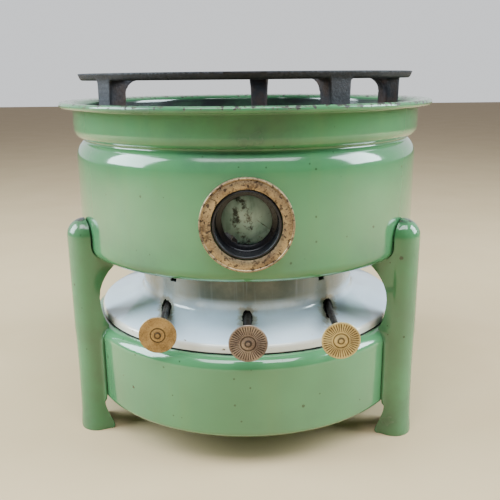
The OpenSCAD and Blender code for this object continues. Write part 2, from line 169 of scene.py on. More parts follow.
# %% Short calls for node trees
class Graph:
    """Adds nodes to a tree. Each method returns the new node's output, ready for the next call."""

    def __init__(self, tree):
        self.tree = tree

    def node(self, kind, inputs=None, **settings):
        made = self.tree.nodes.new("ShaderNode" + kind)
        for name, value in settings.items():
            setattr(made, name, value)
        self.fill(made.inputs, inputs or {})
        return made

    def fill(self, sockets, values):
        """Links a socket where its value is a node's output, and sets it where it is a number."""
        for name, value in values.items():
            if isinstance(value, bpy.types.NodeSocket):
                self.tree.links.new(value, sockets[name])
            else:
                sockets[name].default_value = value

    def noise(self, vector, scale, detail=3.0, roughness=0.55):
        inputs = {"Vector": vector, "Scale": scale, "Detail": detail, "Roughness": roughness}
        return self.node("TexNoise", inputs).outputs["Fac"]

    def stretched(self, vector, scale):
        """The vector with each axis multiplied, which stretches whatever pattern reads it."""
        return self.node("Mapping", {"Vector": vector, "Scale": scale}).outputs[0]

    def sum(self, operation, a, b=0.0):
        return self.node("Math", {0: a, 1: b}, operation=operation).outputs[0]

    def times(self, a, b):
        return self.sum("MULTIPLY", a, b)

    def plus(self, a, b):
        return self.sum("ADD", a, b)

    def minus(self, a, b):
        return self.sum("SUBTRACT", a, b)

    def most(self, a, b):
        return self.sum("MAXIMUM", a, b)

    def off(self, a, b=0.0):
        """How far a is from b, whichever is larger."""
        return self.sum("ABSOLUTE", self.minus(a, b))

    def between(self, value, low, high, start=0.0, end=1.0):
        """A smooth step: start below low, end above high."""
        inputs = {"Value": value, "From Min": low, "From Max": high, "To Min": start, "To Max": end}
        return self.node("MapRange", inputs, interpolation_type="SMOOTHSTEP").outputs[0]

    def level(self, value, low, high, start=0.0, end=1.0):
        """The same step, with low and high in mm."""
        return self.between(value, low * MM, high * MM, start, end)

    def mix(self, factor, a, b):
        inputs = {0: factor, 6: a, 7: b}
        return self.node("Mix", inputs, data_type="RGBA").outputs[2]

    def place(self):
        """Object coordinates, and their X, Y and Z parts."""
        coordinates = self.node("TexCoord").outputs["Object"]
        parts = self.node("SeparateXYZ", {0: coordinates})
        return coordinates, parts.outputs[0], parts.outputs[1], parts.outputs[2]

    def from_axis(self, x, y):
        """Distance from an upright axis."""
        return self.sum("SQRT", self.plus(self.times(x, x), self.times(y, y)))

    def bump(self, height, distance, strength=1.0):
        inputs = {"Height": height, "Distance": distance, "Strength": strength}
        return self.node("Bump", inputs).outputs[0]

    def use(self, group, **inputs):
        """Places a shared node group and returns its outputs."""
        made = self.node("Group", node_tree=group)
        self.fill(made.inputs, inputs)
        return made.outputs


def rgb(red, green, blue):
    """A colour given as it looks on a screen, from 0 to 255, turned into linear light."""
    linear = [((c / 255 + 0.055) / 1.055) ** 2.4 for c in (red, green, blue)]
    return (*linear, 1.0)


def material(name):
    """An empty material with one Principled shader: returns the material, its graph and shader."""
    made = bpy.data.materials.new(name)
    made.use_nodes = True
    graph = Graph(made.node_tree)
    shader = made.node_tree.nodes["Principled BSDF"]
    return made, graph, shader


def feed(graph, shader, **links):
    """Links sockets to the shader. Underscores in a name stand for spaces."""
    for name, value in links.items():
        graph.tree.links.new(value, shader.inputs[name.replace("_", " ")])


def settings(shader, **values):
    """Sets constants straight on the shader's own sockets."""
    for name, value in values.items():
        shader.inputs[name.replace("_", " ")].default_value = value


def new_group(name, inputs, outputs):
    """A shader node group with float inputs, a vector input and float outputs."""
    tree = bpy.data.node_groups.new(name, "ShaderNodeTree")
    tree.interface.new_socket("Vector", in_out="INPUT", socket_type="NodeSocketVector")
    for socket, value in inputs.items():
        made = tree.interface.new_socket(socket, in_out="INPUT", socket_type="NodeSocketFloat")
        made.default_value = value
    for socket in outputs:
        tree.interface.new_socket(socket, in_out="OUTPUT", socket_type="NodeSocketFloat")
    entry = tree.nodes.new("NodeGroupInput").outputs
    result = tree.nodes.new("NodeGroupOutput").inputs
    return tree, Graph(tree), entry, result


# %% [markdown]
# ## Shared effects
# *Glaze* is the slow waviness that fired enamel keeps from its melting, with a fine orange peel on
# top. *Chips* are places where a knock has broken the glass coat down to the blue-black ground
# coat and the rusty steel; they have a ragged outline and a sunken floor. *Specks* are pinholes
# and stuck-on soot, scattered at random. *Soil* is a soft film of grease and dust that gathers
# where a mask says so; where a green part's mask follows the shade, it is painted shade too. Each
# is a node group, so that every enamelled or metal part can reuse it.

# %% Glaze, chips, specks and soil
glaze, g, entry, result = new_group("glaze", {"Wave": 1.0, "Peel": 1.0}, ["Height", "Shade"])
wave = g.noise(entry["Vector"], 28, 1.5, 0.4)
peel = g.noise(entry["Vector"], 420, 2.0, 0.5)
height = g.plus(g.times(wave, entry["Wave"]), g.times(g.times(peel, 0.035), entry["Peel"]))
g.tree.links.new(height, result["Height"])
g.tree.links.new(g.noise(entry["Vector"], 11, 2.0, 0.5), result["Shade"])

chips, g, entry, result = new_group(
    "chips", {"Size": 90.0, "Amount": 0.3, "Zone": 1.0}, ["Bare", "Edge", "Height"]
)
blot = g.noise(entry["Vector"], entry["Size"], 4.0, 0.62)
limit = g.minus(0.92, g.times(entry["Amount"], entry["Zone"]))
over = g.minus(blot, limit)
g.tree.links.new(g.between(over, 0.0, 0.012), result["Bare"])
g.tree.links.new(g.between(over, -0.03, 0.004), result["Edge"])
g.tree.links.new(g.between(over, -0.004, 0.02, 1.0, 0.0), result["Height"])

specks, g, entry, result = new_group("specks", {"Density": 140.0, "Size": 0.14, "Share": 0.35}, ["Mask"])
cells = g.node("TexVoronoi", {"Vector": entry["Vector"], "Scale": entry["Density"]})
ragged = g.plus(cells.outputs["Distance"], g.times(g.noise(entry["Vector"], 900, 2.0), 0.12))
chance = g.node("SeparateColor", {0: cells.outputs["Color"]}).outputs
dot_size = g.times(entry["Size"], chance[1])
inside = g.between(g.minus(ragged, g.plus(dot_size, 0.06)), -0.03, 0.03, 1.0, 0.0)
chosen = g.sum("LESS_THAN", chance[0], entry["Share"])
g.tree.links.new(g.times(inside, chosen), result["Mask"])

soil, g, entry, result = new_group("soil", {"Scale": 16.0, "Zone": 1.0}, ["Mask"])
cloud = g.noise(entry["Vector"], entry["Scale"], 5.0, 0.62)
g.tree.links.new(g.times(g.between(cloud, 0.34, 0.72), entry["Zone"]), result["Mask"])
print("shared effects:", sorted(group.name for group in bpy.data.node_groups))

# %% [markdown]
# ## The floor
# A plain pale floor, a shade warm. A faint mottling keeps it from looking like a hole in the
# picture.

# %% The floor
floor_mat, g, shader = material("floor")
where, x, y, z = g.place()
tone = g.mix(g.noise(where, 9, 3.0), rgb(196, 168, 128), rgb(208, 182, 144))
feed(g, shader, Base_Color=tone)
settings(shader, Roughness=0.85)

bm = bmesh.new()
bmesh.ops.create_grid(bm, x_segments=1, y_segments=1, size=6)
floor_mesh = bpy.data.meshes.new("floor")
bm.to_mesh(floor_mesh)
bm.free()
floor_mesh.materials.append(floor_mat)
floor = bpy.data.objects.new("floor", floor_mesh)
scene.collection.objects.link(floor)
print("floor", floor.dimensions[:2])

# %% [markdown]
# ## Enamels
# Sheet-steel stoves were dipped in molten glass colours. The green coat is glossy and a little
# uneven in tone. Heat has browned it round the collar, cooking fat has clouded the front, and the
# rims that get knocked have chipped to near-black. Painted shade darkens the collar's front under the
# rim, the tank towards its bottom, the legs, and the gap under the burner plate's lip. One function
# makes the enamel for all green parts, and each part says where its own wear and painted shade sit.


# %% Green enamel
def green_enamel(name, wear, haze_and_shade, soot, haze_and_shade_colour=rgb(60, 75, 74)):
    """wear, haze and soot are functions of the graph and its coordinates that return masks from 0 to 1. The
    haze film is dirt and, on some parts, painted shade; on the tank the soot mask is painted shade.
    """
    made, g, shader = material(name)
    where, x, y, z = g.place()
    coat = g.use(glaze, Vector=where, Wave=1.0, Peel=1.0)
    tone = g.mix(g.between(coat["Shade"], 0.3, 0.7), rgb(70, 128, 84), rgb(81, 141, 94))
    streak = g.noise(g.stretched(where, (60, 60, 6)), 1.0, 3.0, 0.6)
    tone = g.mix(g.times(g.between(streak, 0.45, 0.75), 0.22), tone, rgb(96, 136, 82))
    # The haze mask's film is dirt and, on the collar's front, the tank's lower half and the legs, also
    # painted shade.
    zone = haze_and_shade(g, where, x, y, z)
    film = g.use(soil, Vector=where, Scale=15.0, Zone=zone)["Mask"]
    gloss = g.between(zone, 0.2, 0.8, 0.8, 0.12)
    tone = g.mix(g.times(film, 0.75), tone, haze_and_shade_colour)
    dots = g.use(specks, Vector=where, Density=85.0, Size=0.14, Share=0.22)["Mask"]
    fine = g.use(specks, Vector=where, Density=190.0, Size=0.16, Share=0.30)["Mask"]
    grit = g.most(g.times(dots, 0.8), g.times(fine, 0.65))
    tone = g.mix(grit, tone, rgb(46, 50, 34))
    # Soot mask: real soot in the collar and rubbed leg tops; on the tank it is painted shade in the gap under
    # the plate's lip.
    tone = g.mix(soot(g, where, x, y, z), tone, rgb(50, 45, 52))
    zone = wear(g, where, x, y, z)
    chip = g.use(chips, Vector=where, Size=260.0, Amount=0.335, Zone=zone)
    tone = g.mix(g.times(chip["Edge"], 0.8), tone, rgb(104, 82, 52))
    tone = g.mix(chip["Bare"], tone, rgb(34, 30, 28))
    height = g.plus(g.times(coat["Height"], 0.5), g.times(chip["Height"], 0.25))
    rough = g.plus(g.between(film, 0.0, 1.0, 0.13, 0.34), g.times(chip["Bare"], 0.4))
    feed(g, shader, Base_Color=tone, Roughness=rough, Coat_Weight=gloss, Normal=g.bump(height, 0.0006))
    settings(shader, IOR=1.52, Coat_Roughness=0.04)
    return made


def no_wear(g, where, x, y, z):
    return g.plus(g.times(z, 0.0), 0.18)


def mantle_wear(g, where, x, y, z):
    """The rolled rim is chipped all round, and the bottom edge a little."""
    rim = g.level(z, rim_z - 4.5, rim_z - 1.5, 0.0, 1.05)
    bottom = g.level(z, mantle_z + 1, mantle_z + 5, 0.7, 0.15)
    return g.most(rim, bottom)


def mantle_haze_and_shade(g, where, x, y, z):
    """Browning on the collar and neck at the front, which also paints the shade under the rim there, and an
    olive band at the foot.
    """
    collar = g.level(z, rim_z - 52, rim_z - 26)
    front = g.level(y, -128, -88, 1.0, 0.15)
    low = g.level(z, mantle_z, mantle_z + 34, 0.7, 0.26)
    return g.most(g.times(collar, front), low)


def collar_soot(g, where, x, y, z):
    """The flames' gas leaves inside the collar, so that its inner wall is black with streaks of green."""
    inner = g.level(g.from_axis(x, y), 129.0, 130.3, 1.0, 0.0)
    high = g.level(z, rim_z - 20, rim_z - 17)
    streaks = g.noise(g.stretched(where, (40, 40, 90)), 1.0, 4.0, 0.6)
    return g.times(g.times(inner, high), g.between(streaks, 0.3, 0.6, 0.72, 1.0))


def lip_gap_shade(g, where, x, y, z):
    """A dark ragged line on the tank, just outside the burner plate's lip: painted shade of the gap under the
    lip.
    """
    ragged = g.times(g.minus(g.noise(where, 150, 3.0), 0.5), 2.4 * MM)
    reach = g.plus(g.from_axis(x, y), ragged)
    near = g.level(reach, plate_r + 0.5, plate_r + 1.3, 0.9, 0.0)
    return g.times(near, g.level(z, tank_top - 8.2, tank_top - 3.2))


def leg_rub(g, where, x, y, z):
    """Brown at the very top, where the mantle has rubbed the coat away."""
    patch = g.noise(where, 130, 3.0, 0.6)
    return g.times(g.level(z, 160.5, 163.5), g.between(patch, 0.42, 0.56))


# A film over the tank, heavier towards the bottom, where it is painted shade of the lower half.
def tank_film_and_low_shade(g, where, x, y, z):
    return g.level(z, tank_z + 4, tank_top - 8, 0.32, 0.12)


def leg_wear(g, where, x, y, z):
    """Knocked feet, and the domed tops where the mantle rubs."""
    foot = g.level(z, 1, 9, 0.75, 0.1)
    return g.most(foot, g.level(z, 160, 163, 0.0, 0.9))


# A heavy film over the whole leg, heavier at the feet: dirt, and painted shade that darkens the legs.
def leg_film_and_shade(g, where, x, y, z):
    return g.between(z, 0.0, 60 * MM, 0.8, 0.55)


mantle_green = green_enamel("mantle_green", mantle_wear, mantle_haze_and_shade, collar_soot)
tank_green = green_enamel("tank_green", no_wear, tank_film_and_low_shade, lip_gap_shade)
# The legs' brown-grey film colour is painted shade as well as dirt.
leg_green = green_enamel("leg_green", leg_wear, leg_film_and_shade, leg_rub, rgb(78, 70, 66))


# %% White enamel
def white_enamel():
    """Bluish white, with a cream edge where the coat is thin, chips, rust by the spindles, and painted shade
    on the dome's top under the mantle.
    """
    made, g, shader = material("white_enamel")
    where, x, y, z = g.place()
    radius = g.from_axis(x, y)
    coat = g.use(glaze, Vector=where, Wave=0.7, Peel=0.6)
    tone = g.mix(g.between(coat["Shade"], 0.3, 0.7), rgb(216, 232, 250), rgb(226, 238, 250))
    cream = g.level(radius, plate_r - 2.2, plate_r - 0.4)
    tone = g.mix(g.times(cream, 0.65), tone, rgb(226, 208, 180))
    film = g.use(soil, Vector=where, Scale=26.0, Zone=g.level(z, 92, 110, 0.12, 0.7))["Mask"]
    # Painted shade under the mantle: the dome's upper wall, strongest at the front, is darkened to grey-green
    # and broken by paler streaks; the same mask makes it rougher and less glossy.
    painted_dome_shade = g.times(g.level(z, 103, 110), g.level(y, -82, -62, 1.0, 0.35))
    scratch = g.noise(g.stretched(where, (420, 420, 18)), 1.0, 3.0, 0.6)
    tone = g.mix(g.times(painted_dome_shade, g.between(scratch, 0.55, 0.8, 0.97, 0.78)), tone, rgb(74, 84, 72))
    tone = g.mix(film, tone, rgb(150, 146, 130))
    dots = g.use(specks, Vector=where, Density=95.0, Size=0.12, Share=0.14)["Mask"]
    tone = g.mix(g.times(dots, 0.7), tone, rgb(96, 86, 72))
    zone = g.level(radius, plate_r - 9, plate_r - 1, 0.62, 0.92)
    ragged = g.times(g.minus(g.noise(where, 260, 3.0), 0.5), 4.5 * MM)
    for side in SIDES:
        across = g.minus(x, (spindle_at[side].x - 0.5) * MM)
        reach = g.from_axis(across, g.minus(z, (spindle_at[side].z + 0.5) * MM))
        front = g.level(y, -60, -40, 1.0, 0.0)
        blurred = g.plus(reach, g.times(ragged, 2.0))
        stain = g.times(g.level(blurred, 4.5, 8.0, 0.75, 0.0), front)
        tone = g.mix(stain, tone, rgb(176, 160, 132))
        broken = g.level(g.plus(reach, ragged), 3.6, 3.9, 1.0, 0.0)
        tone = g.mix(g.times(broken, front), tone, rgb(38, 32, 28))
    chip = g.use(chips, Vector=where, Size=120.0, Amount=0.27, Zone=zone)
    tone = g.mix(g.times(chip["Edge"], 0.8), tone, rgb(176, 150, 118))
    tone = g.mix(chip["Bare"], tone, rgb(48, 40, 36))
    height = g.plus(g.times(coat["Height"], 0.35), g.times(chip["Height"], 0.3))
    rough = g.plus(g.between(film, 0.0, 1.0, 0.10, 0.3), g.times(chip["Bare"], 0.45))
    rough = g.plus(rough, g.times(painted_dome_shade, 0.3))
    gloss = g.between(painted_dome_shade, 0.0, 1.0, 0.8, 0.1)
    feed(g, shader, Base_Color=tone, Roughness=rough, Coat_Weight=gloss, Normal=g.bump(height, 0.0005))
    settings(shader, IOR=1.52, Coat_Roughness=0.03)
    return made


plate_white = white_enamel()
print("enamels ready")

# %% [markdown]
# ## Metals, mica and cotton
# Cast iron is rough and near-black with a bloom of rust where the coat has burnt off. The brass is
# never clean: the bezel is pitted and brown, one knob is polished by fingers and its neighbour is
# dull. Steel parts near the flames are sooty. Mica is a stack of thin clear flakes that goes milky
# with heat.


# %% Metals
def worn_metal(name, light, dark, metallic, rough, grain, pits, pit_colour=None, stain=0.0):
    """A metal whose tone and gloss wander together, with small pits that hold dirt."""
    made, g, shader = material(name)
    where = g.place()[0]
    smear = None
    if stain:
        smear = g.times(g.between(g.noise(where, grain / 2.6, 6.0, 0.72), 0.5, 0.66), stain)
    add_worn_metal(g, shader, where, light, dark, rough, grain, pits, pit_colour, smear)
    settings(shader, Metallic=metallic)
    return made


def add_worn_metal(g, shader, where, light, dark, rough, grain, pits, pit_colour=None, dirt=None):
    """The wandering tone and the pits. dirt is a mask for more of the pits' colour."""
    cloud = g.noise(where, grain / 5, 5.0, 0.65)
    fine = g.noise(where, grain * 3, 3.0, 0.6)
    blend = g.between(g.plus(g.times(cloud, 0.65), g.times(fine, 0.35)), 0.34, 0.64)
    tone = g.mix(blend, dark, light)
    chip = g.use(chips, Vector=where, Size=grain * 1.6, Amount=pits, Zone=1.0)
    tone = g.mix(g.times(chip["Edge"], 0.85), tone, pit_colour or dark)
    if dirt:
        tone = g.mix(dirt, tone, pit_colour or dark)
    height = g.plus(g.times(fine, 0.35), g.times(chip["Height"], 0.6))
    roughness = g.plus(g.between(blend, 0.0, 1.0, rough[1], rough[0]), g.times(chip["Edge"], 0.25))
    feed(g, shader, Base_Color=tone, Roughness=roughness, Normal=g.bump(height, 0.0002))


bezel_brass = worn_metal(
    "bezel_brass", rgb(190, 166, 128), rgb(128, 103, 80), 0.7, (0.34, 0.6), 260, 0.345, rgb(58, 43, 40), 0.85
)
filler_brass = worn_metal(
    "filler_brass", rgb(204, 164, 100), rgb(138, 106, 62), 0.85, (0.3, 0.5), 260, 0.26, rgb(76, 58, 38)
)
plain_steel = worn_metal(
    "plain_steel", rgb(150, 148, 144), rgb(98, 92, 86), 0.9, (0.32, 0.55), 220, 0.26, rgb(92, 66, 46)
)
spindle_steel = worn_metal(
    "spindle_steel", rgb(74, 66, 64), rgb(38, 33, 33), 0.5, (0.4, 0.62), 500, 0.3, rgb(58, 40, 32)
)
sooty_steel = worn_metal(
    "sooty_steel", rgb(86, 84, 84), rgb(34, 33, 34), 0.25, (0.5, 0.8), 150, 0.28, rgb(78, 58, 44)
)
black_steel = worn_metal(
    "black_steel", rgb(34, 34, 40), rgb(16, 16, 19), 0.1, (0.26, 0.4), 300, 0.24, rgb(50, 40, 35)
)


# %% Cast iron
def cast_iron():
    made, g, shader = material("cast_iron")
    where, x, y, z = g.place()
    sand = g.noise(where, 520, 4.0, 0.65)
    cloud = g.noise(where, 42, 4.0, 0.6)
    tone = g.mix(g.between(cloud, 0.35, 0.65), rgb(31, 30, 36), rgb(48, 47, 54))
    tone = g.mix(g.times(g.between(sand, 0.55, 0.75), 0.35), tone, rgb(76, 76, 80))
    low = g.level(z, rest_top - 8, rest_top - 4, 1.0, 0.05)
    inward = g.level(g.from_axis(x, y), rest_r - 5, rest_r - 2.5, 1.0, 0.1)
    rust = g.use(soil, Vector=where, Scale=60.0, Zone=g.times(low, inward))["Mask"]
    tone = g.mix(g.times(rust, 0.85), tone, rgb(78, 54, 42))
    height = g.plus(g.times(sand, 1.0), g.times(cloud, 0.5))
    rough = g.between(sand, 0.3, 0.7, 0.5, 0.72)
    feed(g, shader, Base_Color=tone, Roughness=rough, Normal=g.bump(height, 0.0004))
    settings(shader, Metallic=0.35)
    return made


iron = cast_iron()


# %% Mica, cotton and gasket board
def mica():
    """Milky flakes with soot behind them, one crack, and a paler lower half."""
    made, g, shader = material("mica")
    where, x, y, z = g.place()
    up = g.minus(z, window_z * MM)
    flake = g.noise(g.stretched(where, (90, 90, 45)), 1.0, 4.0, 0.6)
    tone = g.mix(g.between(flake, 0.3, 0.7), rgb(150, 186, 182), rgb(202, 230, 228))
    tone = g.mix(g.times(g.level(up, -15, 10, 1.0, 0.0), 0.5), tone, rgb(176, 216, 200))
    heart = g.noise(where, 95, 5.0, 0.7)
    band = g.times(g.level(g.off(g.plus(x, 3 * MM)), 2, 9, 1.0, 0.0), 0.16)
    soot = g.between(g.plus(heart, band), 0.6, 0.7)
    tone = g.mix(g.times(soot, 0.9), tone, rgb(38, 42, 40))
    line = g.off(g.plus(up, g.minus(g.times(x, 0.72), 4.6 * MM)))
    wander = g.times(g.minus(g.noise(where, 260, 2.0), 0.5), 1.6 * MM)
    crack = g.level(g.plus(line, wander), 0.1, 0.35, 1.0, 0.0)
    crack = g.times(crack, g.level(x, 6, 8))
    tone = g.mix(g.times(crack, 0.8), tone, rgb(52, 58, 50))
    rough = g.between(flake, 0.3, 0.7, 0.22, 0.4)
    feed(g, shader, Base_Color=tone, Roughness=rough, Normal=g.bump(flake, 0.0004))
    settings(shader, IOR=1.56)
    return made


def cotton():
    """Woven wick: fine ribs up its length, charred at the top."""
    made, g, shader = material("cotton")
    where, x, y, z = g.place()
    warp = g.node("TexWave", {"Vector": where, "Scale": 700.0, "Distortion": 0.6}, bands_direction="Y")
    weft = g.node("TexWave", {"Vector": where, "Scale": 520.0, "Distortion": 0.6}, bands_direction="Z")
    weave = g.times(warp.outputs["Fac"], weft.outputs["Fac"])
    tone = g.mix(weave, rgb(166, 150, 118), rgb(222, 212, 186))
    ragged = g.plus(z, g.times(g.noise(where, 300, 3.0), 2.5 * MM))
    tone = g.mix(g.level(ragged, 124, 130), tone, rgb(22, 20, 19))
    feed(g, shader, Base_Color=tone, Normal=g.bump(weave, 0.0005))
    settings(shader, Roughness=0.9, Sheen_Weight=0.25)
    return made


mica_mat = mica()
cotton_mat = cotton()
gasket_mat = worn_metal("gasket_board", rgb(46, 42, 38), rgb(24, 22, 20), 0.0, (0.8, 0.9), 400, 0.2)
print("materials:", len(bpy.data.materials))

# %% [markdown]
# ## Shaping helpers
# Nearly everything here was spun, pressed or turned, so an outline turned about an axis makes most
# pieces. An outline is a list of (radius, height) points, with its round stretches as arcs. A thin
# sheet is spun as one skin and then given its thickness by a Solidify modifier. Turned pieces are
# spun as closed outlines.


# %% Outlines and spins
def arc(centre, radius, start, end, steps=8):
    """Points on a circle about centre, from start to end in degrees."""
    angles = [math.radians(start + (end - start) * i / steps) for i in range(steps + 1)]
    return [(centre[0] + radius * math.cos(a), centre[1] + radius * math.sin(a)) for a in angles]


def line(a, b, steps):
    """Points after a, up to and including b, in equal steps."""
    return [tuple(p + (q - p) * i / steps for p, q in zip(a, b)) for i in range(1, steps + 1)]


def spun(outline, steps=192):
    """Turns an outline about the Z axis into a skin, in metres, with its normals outwards."""
    bm = bmesh.new()
    verts = [bm.verts.new((r * MM, 0, z * MM)) for r, z in outline]
    edges = [bm.edges.new(pair) for pair in zip(verts, verts[1:])]
    bmesh.ops.spin(
        bm, geom=verts + edges, cent=(0, 0, 0), axis=(0, 0, 1), dvec=(0, 0, 0),
        angle=2 * math.pi, steps=steps, use_merge=True,
    )
    tidy(bm)
    return bm


def tidy(bm):
    """Merges doubles and turns every face outwards."""
    bmesh.ops.remove_doubles(bm, verts=bm.verts, dist=1e-7)
    bmesh.ops.dissolve_degenerate(bm, edges=bm.edges, dist=1e-7)
    bmesh.ops.recalc_face_normals(bm, faces=bm.faces)


def on_front(bm, x=0.0, z=0.0):
    """Turns a shape that stands along +Z so that it points forwards, about an axis at x and z."""
    turn = Matrix.Translation((x * MM, 0, z * MM)) @ Matrix.Rotation(math.pi / 2, 4, "X")
    bmesh.ops.transform(bm, matrix=turn, verts=bm.verts)
    return bm


def facing(bm, turn):
    """Turns a shape that lies towards +X to a direction given in degrees from the front."""
    bmesh.ops.transform(bm, matrix=Matrix.Rotation(math.radians(turn - 90), 4, "Z"), verts=bm.verts)
    return bm


def block(bm, low, high):
    """Adds a box between two corners in mm, and returns its vertices."""
    made = bmesh.ops.create_cube(bm, size=1)["verts"]
    span = Vector(high) - Vector(low)
    bmesh.ops.scale(bm, vec=span * MM, verts=made)
    bmesh.ops.translate(bm, vec=(Vector(low) + span / 2) * MM, verts=made)
    return made


def rod(radius, start, end, x=0.0, y=0.0):
    """A cutter: an upright cylinder about an axis at x and y, from start to end in mm."""
    bm = bmesh.new()
    wide, long = radius * MM, (end - start) * MM
    bmesh.ops.create_cone(bm, cap_ends=True, segments=64, radius1=wide, radius2=wide, depth=long)
    bmesh.ops.translate(bm, vec=Vector((x, y, (start + end) / 2)) * MM, verts=bm.verts)
    return bm


def cutter_box(low, high):
    bm = bmesh.new()
    block(bm, low, high)
    return bm


def extruded(bm, shift):
    """Moves all faces of a flat shape by a shift in metres, with walls between, and returns them."""
    raised = bmesh.ops.extrude_face_region(bm, geom=list(bm.faces))["geom"]
    bmesh.ops.translate(bm, vec=shift, verts=[v for v in raised if isinstance(v, bmesh.types.BMVert)])
    return [f for f in raised if isinstance(f, bmesh.types.BMFace)]


# %% [markdown]
# ## Finishing helpers
# `piece` turns a bmesh into an object that rides on a body of the frame and stands for one of its
# nodes. `cut` takes shapes away with a Boolean and keeps the result. `rounded` puts a small bevel
# on what is left sharp, because no real edge is perfectly sharp and a bevel is what catches light.


# %% From a bmesh to a piece
def object_from(name, bm):
    mesh = bpy.data.meshes.new(name)
    bm.to_mesh(mesh)
    bm.free()
    for face in mesh.polygons:
        face.use_smooth = True
    made = bpy.data.objects.new(name, mesh)
    scene.collection.objects.link(made)
    return made


def body_of(node):
    groups = frame["record"]["behaviour"]["bodies"]
    return next(body for body, members in groups.items() if node in members)


def piece(name, bm, node, finish):
    """Makes an object that stands for a node of the frame and rides with it."""
    made = object_from(name, bm)
    made.data.materials.append(finish)
    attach(made, body_of(node))
    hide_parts(node)
    return made


def bake_modifiers(made):
    """Replaces an object's mesh by what its modifiers make of it."""
    evaluated = made.evaluated_get(bpy.context.evaluated_depsgraph_get())
    mesh = bpy.data.meshes.new_from_object(evaluated)
    made.modifiers.clear()
    made.data = mesh


def thicken(made, thickness=SHEET, side=-1):
    """Gives a skin its thickness in mm, behind its faces, or in front of them where side is 1."""
    solid = made.modifiers.new("thickness", "SOLIDIFY")
    solid.thickness = thickness * MM
    solid.offset = side
    solid.use_even_offset = True
    solid.use_rim = True


def cut(made, *cutters, folds=False):
    """Takes the cutters away from the object. folds says that its walls may touch each other."""
    tools = []
    for bm in cutters:
        tidy(bm)
        tool = object_from("cutter", bm)
        knife = made.modifiers.new("cut", "BOOLEAN")
        knife.operation = "DIFFERENCE"
        knife.solver = "EXACT"
        knife.use_self = folds
        knife.object = tool
        tools.append(tool)
    bake_modifiers(made)
    for tool in tools:
        bpy.data.objects.remove(tool)


def rounded(made, width=0.35, segments=2, angle=35):
    """Bevels the edges that are sharper than the angle. Width is in mm."""
    bevel = made.modifiers.new("rounded edges", "BEVEL")
    bevel.width = width * MM
    bevel.segments = segments
    bevel.profile = 0.5
    bevel.limit_method = "ANGLE"
    bevel.angle_limit = math.radians(angle)
    bevel.harden_normals = True
    return made


def refined(name, node, finish, width=0.25):
    """A copy of a node of the frame, merged and with its edges rounded, for pieces whose shape is right."""
    bm = bmesh.new()
    bm.from_mesh(frame["nodes"][node].data)
    bmesh.ops.remove_doubles(bm, verts=bm.verts, dist=2e-6)
    flat = math.radians(0.5)
    bmesh.ops.dissolve_limit(bm, angle_limit=flat, verts=bm.verts, edges=bm.edges)
    return rounded(piece(name, bm, node, finish), width)


# %% [markdown]
# ## The fuel tank
# The tank is a shallow drum, drawn from sheet, with a big soft radius where its top turns into its
# wall and a smaller one at the bottom. Its floor is dished up a little so that only a ring of it
# could ever touch the table. One outline and a spin make it; the flat top ends under the burner
# plate.

# %% Tank
TANK_SHOULDER, TANK_EDGE, TANK_DISH = 8.5, 5, 1.4
tank_outline = (
    [(0.0, tank_z + TANK_DISH), (104, tank_z + TANK_DISH), (107, tank_z + 0.4)]
    + arc((tank_r - TANK_EDGE, tank_z + TANK_EDGE), TANK_EDGE, -90, 0)
    + arc((tank_r - TANK_SHOULDER, tank_top - TANK_SHOULDER), TANK_SHOULDER, 0, 90, 12)
    + [(106.5, tank_top)]
)
tank = piece("tank", spun(tank_outline), "tank_shell", tank_green)
thicken(tank)
filler, FILLER_HOLE_R = middle_of("filler_neck"), 9.6
cut(tank, rod(FILLER_HOLE_R, tank_top - 4, tank_top + 4, filler.x, filler.y))
rounded(tank, 0.3)
print("tank:", len(tank.data.polygons), "faces")

# %% [markdown]
# ## The burner plate
# A white plate that lies on the tank: an upright lip, a shallow cone, and a dome whose wall carries
# the holes for the spindles. The holes are much larger than the spindles, so that the plate can be
# lifted over them. Two small slots near the dome's crown let air in.

# %% Burner plate
LIP_HEIGHT, LIP_ROUND, FOLD_ROUND, CROWN_ROUND = 3.4, 3, 5, 4
SKIRT_SLOPE, DOME_R, CROWN_IN = 16, 84.8, 77
slope = math.radians(SKIRT_SLOPE)
lip_end = (
    plate_r - LIP_ROUND + LIP_ROUND * math.sin(slope),
    plate_z + LIP_HEIGHT + LIP_ROUND * math.cos(slope),
)
fold_start = DOME_R + FOLD_ROUND - FOLD_ROUND * math.sin(slope)
fold_z = lip_end[1] + (lip_end[0] - fold_start) * math.tan(slope) + FOLD_ROUND * math.cos(slope)
crown_z = dome_top - CROWN_ROUND
plate_outline = [(plate_r - 5.4, plate_z), (plate_r - 0.5, plate_z), (plate_r, plate_z + 0.5)]
plate_outline += arc((plate_r - LIP_ROUND, plate_z + LIP_HEIGHT), LIP_ROUND, 0, 90 - SKIRT_SLOPE, 7)
plate_outline += line(lip_end, (fold_start, fold_z - FOLD_ROUND * math.cos(slope)), 12)[:-1]
plate_outline += arc((DOME_R + FOLD_ROUND, fold_z), FOLD_ROUND, 270 - SKIRT_SLOPE, 180, 9)
plate_outline += line((DOME_R, fold_z), (DOME_R, crown_z), 8)[:-1]
plate_outline += arc((DOME_R - CROWN_ROUND, crown_z), CROWN_ROUND, 0, 90)
plate_outline += [(CROWN_IN, dome_top)]
plate = piece("burner_plate_enamel", spun(plate_outline, 256), "burner_plate", plate_white)
thicken(plate)

